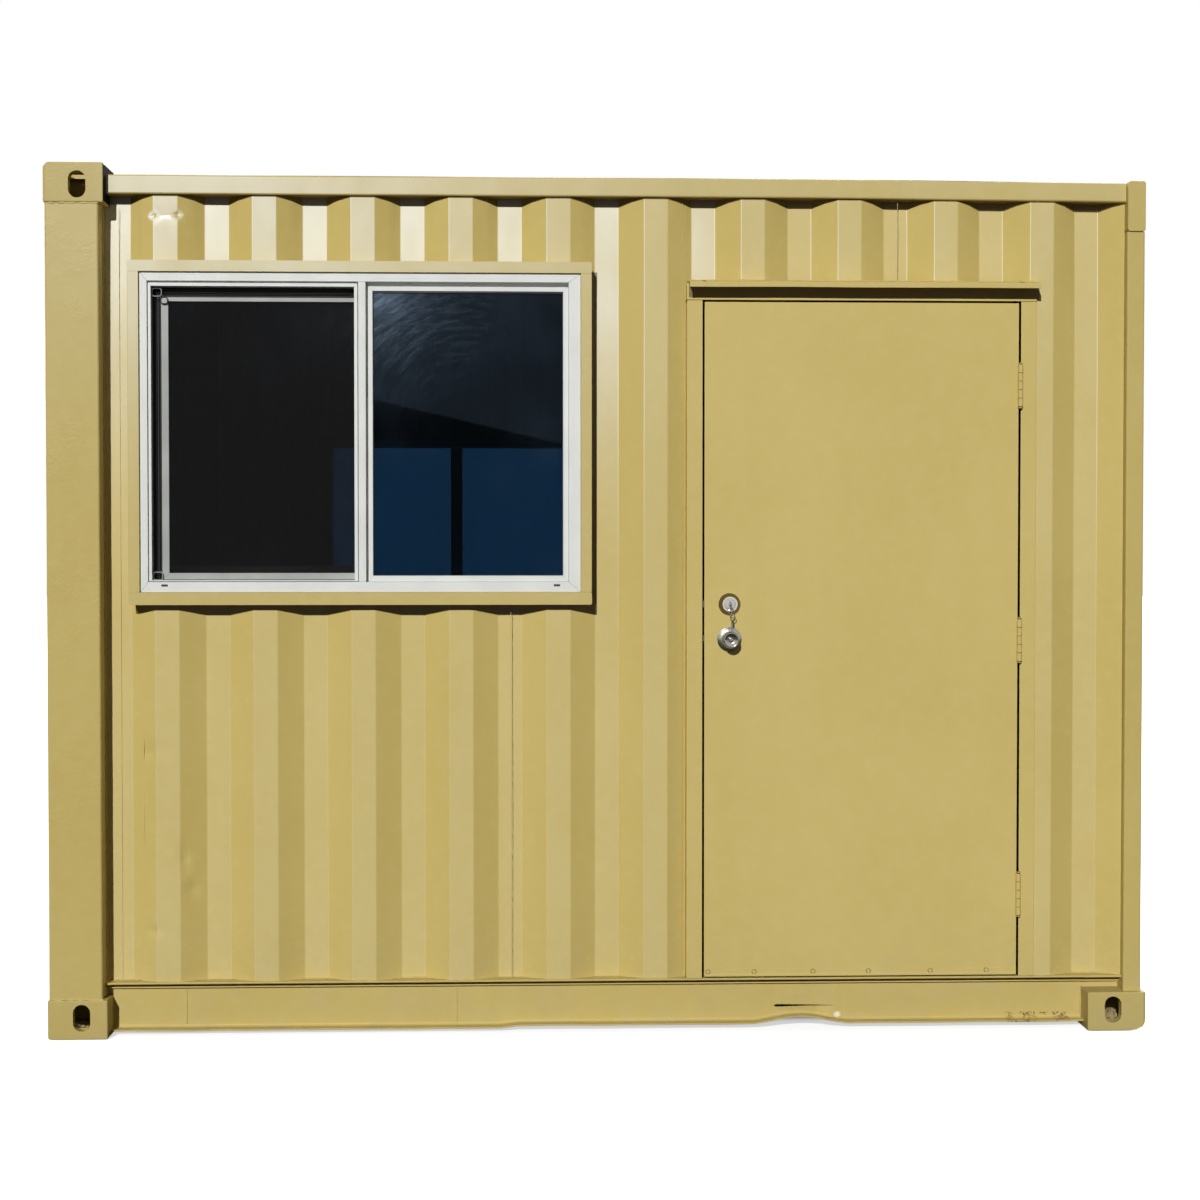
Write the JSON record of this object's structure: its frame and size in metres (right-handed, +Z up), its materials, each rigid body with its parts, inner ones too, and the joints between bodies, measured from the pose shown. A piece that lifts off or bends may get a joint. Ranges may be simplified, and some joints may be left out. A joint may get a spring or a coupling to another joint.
{
  "type": "office container",
  "caption": "Shortened steel container used as a site office: corrugated walls, corner castings, a framed sliding window and a hinged steel door with a knob in one long side.",
  "frame": {"origin": "centre of the four bottom castings' sole apertures, on the level of the soles", "axes": "+X along the container towards the door end, -Y out of the long side with the window and the door, +Z up"},
  "size_m": [3.29, 2.456, 2.591],
  "materials": {
    "paint": "satin, weathered",
    "white_frame": "satin",
    "dark_sash": "satin",
    "glass": "polished",
    "screen_bars": "satin",
    "screen_cloth": "matt",
    "plywood": "matt",
    "lock_metal": "satin, spotted"
  },
  "bodies": {
    "container": {"casting_bottom_front_left": "paint", "casting_bottom_back_left": "paint", "casting_bottom_front_right": "paint", "casting_bottom_back_right": "paint", "casting_top_front_left": "paint", "casting_top_back_left": "paint", "posts_left": "paint", "posts_right": "paint", "header_left": "paint", "header_right": "paint", "sill_left": "paint", "sill_right": "paint", "top_rails": "paint", "bottom_rail_front": "paint", "bottom_rail_back": "paint", "cross_members": "paint", "floor_boards": "plywood", "roof": "paint", "wall_front_left": "paint", "wall_over_window": "paint", "wall_under_window": "paint", "wall_front_middle": "paint", "wall_over_door": "paint", "wall_front_right": "paint", "wall_back": "paint", "wall_left_end": "paint", "wall_right_end": "paint", "window_surround": "paint", "window_frame": "white_frame", "fixed_sash": "white_frame", "sliding_sash": "dark_sash", "glass_panes": "glass", "insect_screen": "screen_bars", "screen_cloth": "screen_cloth", "jamb_left": "paint", "jamb_right": "paint", "door_head": "paint", "drip_cap": "paint", "hinge_frame_side": "paint"},
    "door": {"door_leaf": "paint", "door_sweep": "paint", "hinge_door_side": "paint", "dead_lock": "lock_metal", "lock_roses": "lock_metal"},
    "knob": {"knobs": "lock_metal"}
  },
  "joints": [
    {"name": "door_swing", "type": "hinge", "parent": "container", "child": "door", "pos_m": [1.2605, -1.188, 1.1805], "axis": [0, 0, 1], "range_deg": [0, 170]},
    {"name": "knob_turn", "type": "hinge", "parent": "door", "child": "knob", "pos_m": [0.384, -1.1545, 1.1835], "axis": [0, 1, 0], "range_deg": [-60, 60]}
  ]
}
